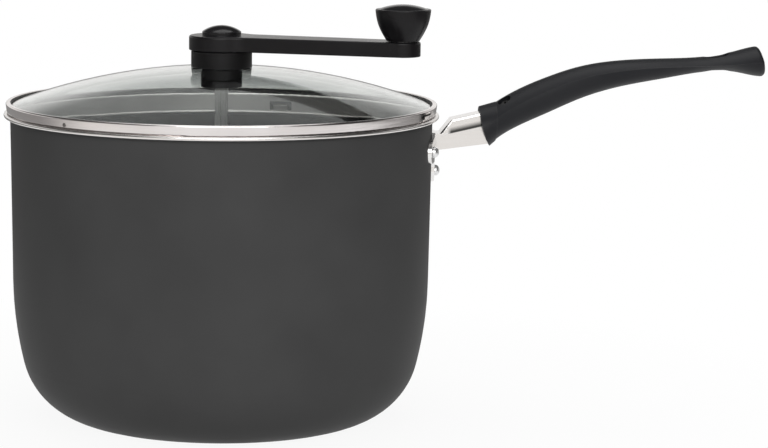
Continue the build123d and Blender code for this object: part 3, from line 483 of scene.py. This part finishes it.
# The lid: a tempered glass dome, faintly grey green, bedded with a black seal in a band rolled
# from polished stainless strip, whose skirt drops into the pot and is duller on its inside.
glass_finish, glass_shader, glass_places = new_finish("lid_glass", 0.0, 0.02, (0.83, 0.86, 0.842))
glass_shader.inputs["Transmission Weight"].default_value = 1.0
glass_shader.inputs["IOR"].default_value = 1.47
wave = speckle(glass_finish, glass_places, 14.0, 1.0)
feed(glass_finish, glass_shader.inputs["Roughness"], spread(glass_finish, wave, 0.0, 0.02))
relief(glass_finish, glass_shader, wave, 0.0004, 0.15)
dress(glass_finish, "lid_glass")

skirt_face = (0.1130, 0.1134)
skirt_roughness = 0.42
band_finish, band_shader, band_places = new_finish("band_steel", 1.0, 0.14, (0.8, 0.785, 0.775))
rolling_lines = speckle(band_finish, band_places, 40.0, 4.0, (1.0, 1.0, 26.0))
# Painted reflection: the strip's colour gets a pinkish beige tint and darker patches in a loose
# noise, for the room that the polished band mirrors.
painted_reflection_patches = speckle(band_finish, band_places, 18.0, 2.0)
band_across, band_beside, _ = axis_parts(band_finish, band_places)
band_radius = axis_distance(band_finish, band_across, band_beside)
skirt_inside = spread(band_finish, band_radius, 1.0, 0.0, *skirt_face)
strip_roughness = spread(band_finish, rolling_lines, 0.1, 0.2)
band_roughness = blend(band_finish, skirt_inside, strip_roughness, skirt_roughness)
band_colour_painted_reflection = tint(band_finish, painted_reflection_patches, (0.66, 0.62, 0.61), (0.82, 0.79, 0.78))
feed(band_finish, band_shader.inputs["Roughness"], band_roughness)
feed(band_finish, band_shader.inputs["Base Color"], band_colour_painted_reflection)
relief(band_finish, band_shader, rolling_lines, 0.00005, 0.35)
dress(band_finish, "lid_band")


# Where the band's strip closes: a spot weld on its outside, dished and burnt dark, and a lap of
# the strip's cut end that slants down the inside of the skirt.
weld_angle = math.radians(-134.14)
weld_radius = 0.11862
weld_height = 0.1731
weld_size = 0.0011
weld_flatness = 0.3
weld_rim = 0.00012
weld_dish = 0.00016
dish_spread = 0.985

weld_out = Vector((math.cos(weld_angle), math.sin(weld_angle), 0.0))
deselect_everything()
bpy.ops.mesh.primitive_uv_sphere_add(segments=28, ring_count=14, radius=weld_size)
band_weld = bpy.context.object
band_weld.name = "band_weld"
band_weld.scale = (weld_flatness, 1.0, 1.0)
band_weld.rotation_euler = (0.0, 0.0, weld_angle)
band_weld.location = weld_out * weld_radius + Vector((0.0, 0.0, weld_height))
bpy.ops.object.transform_apply(location=True, rotation=True, scale=True)
bpy.ops.object.mode_set(mode="EDIT")
weld_mesh = bmesh.from_edit_mesh(band_weld.data)
for weld_face in weld_mesh.faces:
    weld_face.select = weld_face.normal.dot(weld_out) > dish_spread
bmesh.update_edit_mesh(band_weld.data)
bpy.ops.mesh.inset(thickness=weld_rim, depth=-weld_dish)
bpy.ops.object.mode_set(mode="OBJECT")
bpy.ops.object.shade_smooth()
burnt_finish = mottled_finish(
    "burnt_weld",
    metallic=1.0,
    scale=1600.0,
    detail=2.0,
    roughness=(0.4, 0.55),
    dark=(0.12, 0.11, 0.105),
    light=(0.3, 0.28, 0.27),
    depth=0.00003,
    strength=0.4,
)
band_weld.data.materials.append(burnt_finish)
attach(band_weld, "lid")

lap_top, lap_foot = (math.radians(61.4), 0.1687), (math.radians(46.6), 0.1607)
lap_radius = 0.1127
lap_width = 0.0009
lap_sheet = 0.0004
lap_cuts = 31

deselect_everything()
bpy.ops.mesh.primitive_cube_add(size=1.0)
skirt_lap = bpy.context.object
skirt_lap.name = "skirt_lap"
bpy.ops.object.mode_set(mode="EDIT")
lap_mesh = bmesh.from_edit_mesh(skirt_lap.data)
for lap_edge in lap_mesh.edges:
    run = lap_edge.verts[0].co - lap_edge.verts[1].co
    lap_edge.select = abs(run.x) > 0.5
bmesh.update_edit_mesh(skirt_lap.data)
bpy.ops.mesh.subdivide(number_cuts=lap_cuts)
bpy.ops.object.mode_set(mode="OBJECT")
for point in skirt_lap.data.vertices:
    share = point.co.x + 0.5
    turn = lap_top[0] + share * (lap_foot[0] - lap_top[0])
    level = lap_top[1] + share * (lap_foot[1] - lap_top[1]) + point.co.z * lap_width
    out = lap_radius + point.co.y * lap_sheet
    point.co = (out * math.cos(turn), out * math.sin(turn), level)
bpy.ops.object.mode_set(mode="EDIT")
bpy.ops.mesh.select_all(action="SELECT")
bpy.ops.mesh.normals_make_consistent(inside=False)
bpy.ops.object.mode_set(mode="OBJECT")
bpy.ops.object.shade_smooth_by_angle(angle=math.radians(40.0))
skirt_lap.data.materials.append(band_finish)
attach(skirt_lap, "lid")


# The black rings: the seal between glass and band, and the gaskets under the boss and the nut,
# all moulded from soft rubber with a dull skin.
seal_finish = mottled_finish(
    "soft_seal",
    metallic=0.0,
    scale=500.0,
    detail=2.0,
    roughness=(0.45, 0.65),
    dark=(0.024, 0.024, 0.024),
    light=(0.036, 0.036, 0.036),
    depth=0.00005,
    strength=0.4,
)
dress(seal_finish, "lid_seal", "boss_gasket", "nut_gasket")


# The crank: arm and knob are black nylon mouldings with a faint sheen. The boss and the nut are
# duller, and a little darker as painted shade under the arm. The caps are glossier, and the bush
# and washers are plain nylon.
crank_finish = black_plastic(
    "crank_plastic", (0.007, 0.0065, 0.0073), (0.011, 0.0102, 0.0112), 0.25, 0.32
)
dress(crank_finish, "crank_arm", "crank_knob")
# Painted shade: the boss and the nut get a darker black than the arm, for the shade under the arm.
boss_finish_painted_shade = black_plastic(
    "boss_plastic_painted_shade", (0.006, 0.0056, 0.006), (0.009, 0.0085, 0.009), 0.45, 0.55
)
dress(boss_finish_painted_shade, "lid_boss", "lid_nut")
cap_finish = black_plastic(
    "cap_plastic", (0.012, 0.0115, 0.0125), (0.016, 0.0155, 0.0165), 0.12, 0.18
)
dress(cap_finish, "hub_cap", "knob_cap")

nylon_finish = mottled_finish(
    "bearing_plastic",
    metallic=0.0,
    scale=300.0,
    detail=2.0,
    roughness=(0.38, 0.52),
    dark=(0.56, 0.56, 0.53),
    light=(0.64, 0.64, 0.61),
    depth=0.00003,
    strength=0.4,
)
dress(nylon_finish, "shaft_bush", "thrust_washer", "knob_washer")


# The stirrer: a flat bar and a strip of drawn stainless steel, dull next to the polished band,
# with the drawing lines running up the bar.
bar_finish = mottled_finish(
    "stirrer_steel",
    metallic=1.0,
    scale=90.0,
    detail=4.0,
    roughness=(0.24, 0.4),
    dark=(0.4, 0.39, 0.38),
    light=(0.52, 0.51, 0.5),
    depth=0.00005,
    strength=0.4,
    stretch=(14.0, 14.0, 0.8),
)
dress(bar_finish, "stirrer_shaft", "stirrer_blade")
